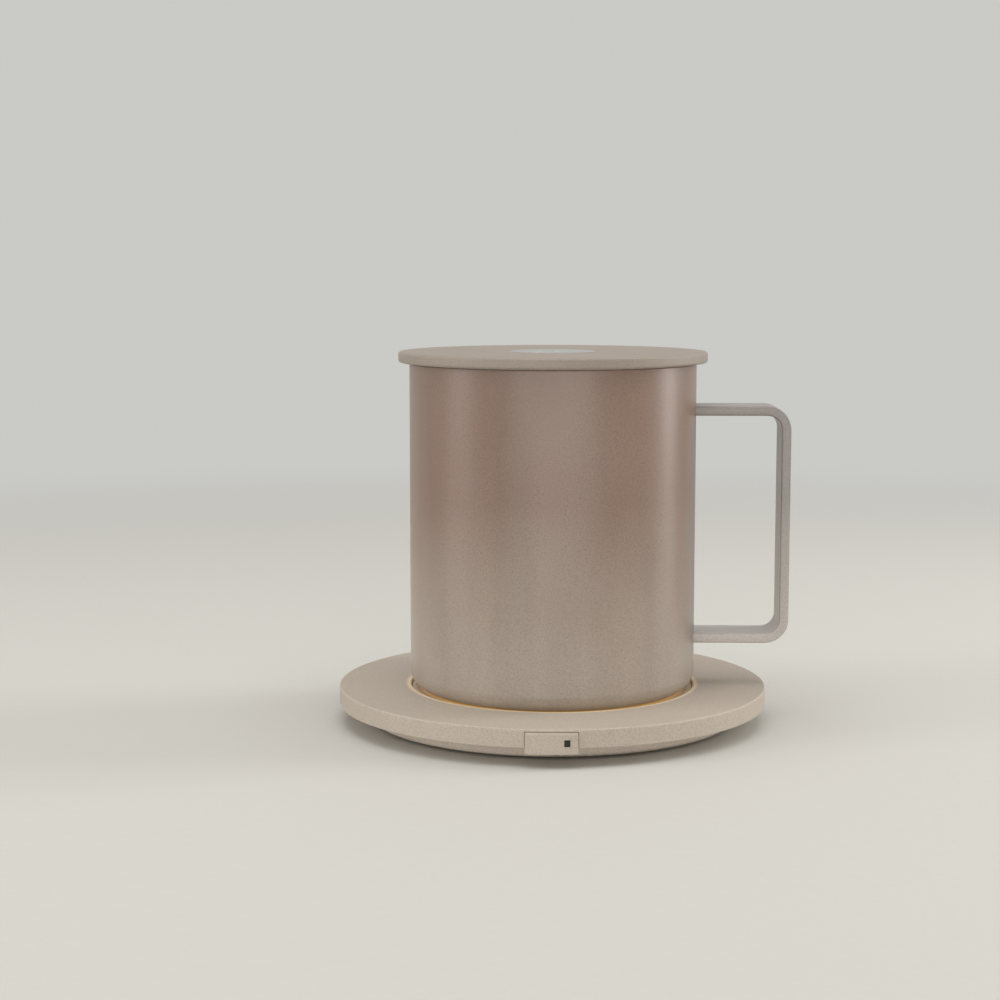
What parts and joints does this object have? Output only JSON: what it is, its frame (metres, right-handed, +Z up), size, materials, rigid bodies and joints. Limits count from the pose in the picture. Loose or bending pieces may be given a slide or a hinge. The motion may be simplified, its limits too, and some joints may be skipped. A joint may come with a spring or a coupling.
{
  "type": "heated mug warmer set",
  "caption": "Round heated warmer plate with an insulated strap-handled mug seated in it and a display lid; powered through a socket in its rim.",
  "frame": {"origin": "on the warmer's axis, on the plane that its base pad stands on", "axes": "+Z up along the axis of warmer, mug and lid; +X towards the mug's handle; -Y towards the power button, +Y towards the socket"},
  "size_m": [0.1324, 0.1274, 0.1089],
  "materials": {
    "warmer_plastic": "fine spark texture, warm greige",
    "silicone": "matt silicone",
    "screw_steel": "zinc plated",
    "coated_plate": "fine powder coat on aluminium",
    "clamp_steel": "stamped sheet",
    "amber_film": "polyimide film",
    "etched_track": "etched heater foil",
    "felt": "needled insulation felt",
    "sensor_glass": "glazed bead",
    "fuse_metal": "drawn can",
    "wire": "silicone insulation",
    "circuit_board": "solder mask",
    "component_black": "moulded package",
    "socket_steel": "nickel plated shell",
    "led_lens": "clear moulded lens",
    "dark_window": "smoked light pipe",
    "mug_coating": "satin powder coat over steel",
    "bare_steel": "satin steel",
    "spreader_aluminium": "plain disc",
    "lid_plastic": "smooth matt, warm greige",
    "dark_lens": "polished smoked acrylic",
    "lit_digits": "white lit bars",
    "cell_steel": "nickel plated can"
  },
  "bodies": {
    "warmer": {"top_shell": "warmer_plastic", "bottom_cover": "warmer_plastic", "base_pad": "silicone", "cover_screws": "screw_steel", "heating_plate": "coated_plate", "plate_seal": "silicone", "clamp_ring": "clamp_steel", "clamp_screws": "screw_steel", "heater_film": "amber_film", "heater_track": "etched_track", "insulation_felt": "felt", "thermistor": "sensor_glass", "thermal_fuse": "fuse_metal", "heater_leads": "wire", "control_board": "circuit_board", "board_components": "component_black", "board_screws": "screw_steel", "usb_board": "circuit_board", "usb_socket": "socket_steel", "power_leads": "wire", "push_switch": "component_black", "indicator_led": "led_lens"},
    "button": {"power_button": "warmer_plastic", "light_pipe": "dark_window", "switch_plunger": "component_black"},
    "mug": {"outer_shell": "mug_coating", "inner_liner": "bare_steel", "base_cap": "bare_steel", "heat_spreader": "spreader_aluminium", "handle": "mug_coating"},
    "lid": {"lid_body": "lid_plastic", "lid_gasket": "silicone", "lid_inner_cover": "lid_plastic", "cover_o_ring": "silicone", "sensor_probe": "bare_steel", "probe_leads": "wire", "display_lens": "dark_lens", "display_panel": "component_black", "display_digits": "lit_digits", "lid_board": "circuit_board", "lid_screws": "screw_steel", "coin_cell": "cell_steel", "cell_clip": "clamp_steel"}
  },
  "joints": [
    {"name": "power_press", "type": "slide", "parent": "warmer", "child": "button", "axis": [0, 1, 0], "range_m": [0, 0.0008], "stiffness_N_per_m": 1500, "springref_m": -0.0005},
    {"name": "mug_lift", "type": "slide", "parent": "warmer", "child": "mug", "axis": [0, 0, 1], "range_m": [0, 0.011]},
    {"name": "lid_lift", "type": "slide", "parent": "mug", "child": "lid", "axis": [0, 0, 1], "range_m": [0, 0.0154]}
  ]
}
